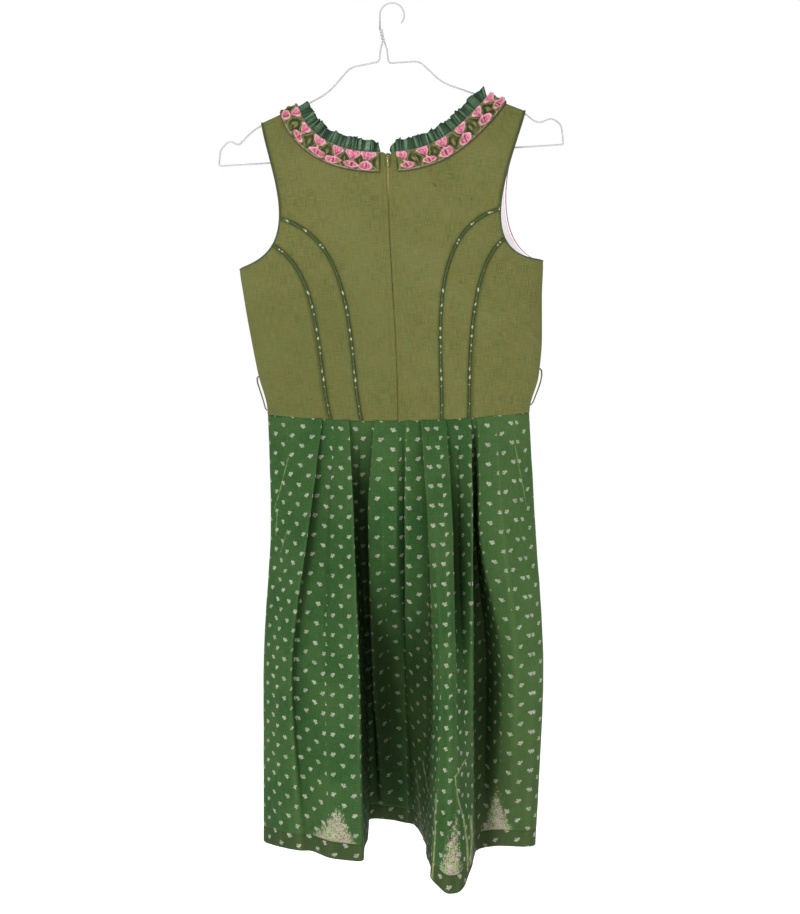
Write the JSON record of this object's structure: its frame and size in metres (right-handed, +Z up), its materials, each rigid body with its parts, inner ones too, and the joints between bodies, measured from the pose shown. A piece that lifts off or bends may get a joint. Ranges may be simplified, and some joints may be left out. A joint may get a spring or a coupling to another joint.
{
  "type": "dirndl dress on a wire hanger",
  "caption": "Sleeveless knee-length dirndl dress with a piped linen bodice, ribbon-trimmed round neck and folded print skirt, hanging back to front on a bent wire hanger.",
  "frame": {"origin": "inside top of the hanger's hook, where a rail carries it", "axes": "+Z up; the dress's back with its zip faces -Y and its front +Y; +X is the wearer's right"},
  "size_m": [0.4422, 0.3136, 1.0928],
  "materials": {
    "linen": "matt coarse plain weave in olive",
    "print": "matt green with off-white sprigs",
    "piping": "matt dark green",
    "ruffle": "soft sheen, green",
    "ribbon": "olive face, pink back, satin",
    "lining": "matt pale",
    "coil": "satin",
    "metal": "satin",
    "thread": "matt",
    "wire": "satin pale"
  },
  "bodies": {
    "dress": {"hanger": "wire", "back_centre_left": "linen", "back_centre_right": "linen", "back_mid_left": "linen", "back_mid_right": "linen", "back_side_left": "linen", "back_side_right": "linen", "front_side_left": "linen", "front_side_right": "linen", "front_centre": "linen", "piping_back_inner_left": "piping", "piping_back_outer_left": "piping", "piping_back_inner_right": "piping", "piping_back_outer_right": "piping", "armhole_binding_left": "piping", "armhole_binding_right": "piping", "armhole_facing_left": "lining", "armhole_facing_right": "lining", "neck_trim": "ribbon", "neck_ruffle": "ruffle", "zip_coil": "coil", "zip_stop": "metal", "zip_slider": "metal", "thread_loop_left": "thread", "thread_loop_right": "thread", "skirt_back_left": "print", "skirt_back_right": "print", "skirt_front": "print"},
    "zip_pull": {"zip_pull": "metal"}
  },
  "joints": [
    {"name": "pull_tab", "type": "hinge", "parent": "dress", "child": "zip_pull", "pos_m": [-0.00489, -0.03661, -0.20235], "axis": [-1, 0, 0], "range_deg": [0, 150]}
  ]
}
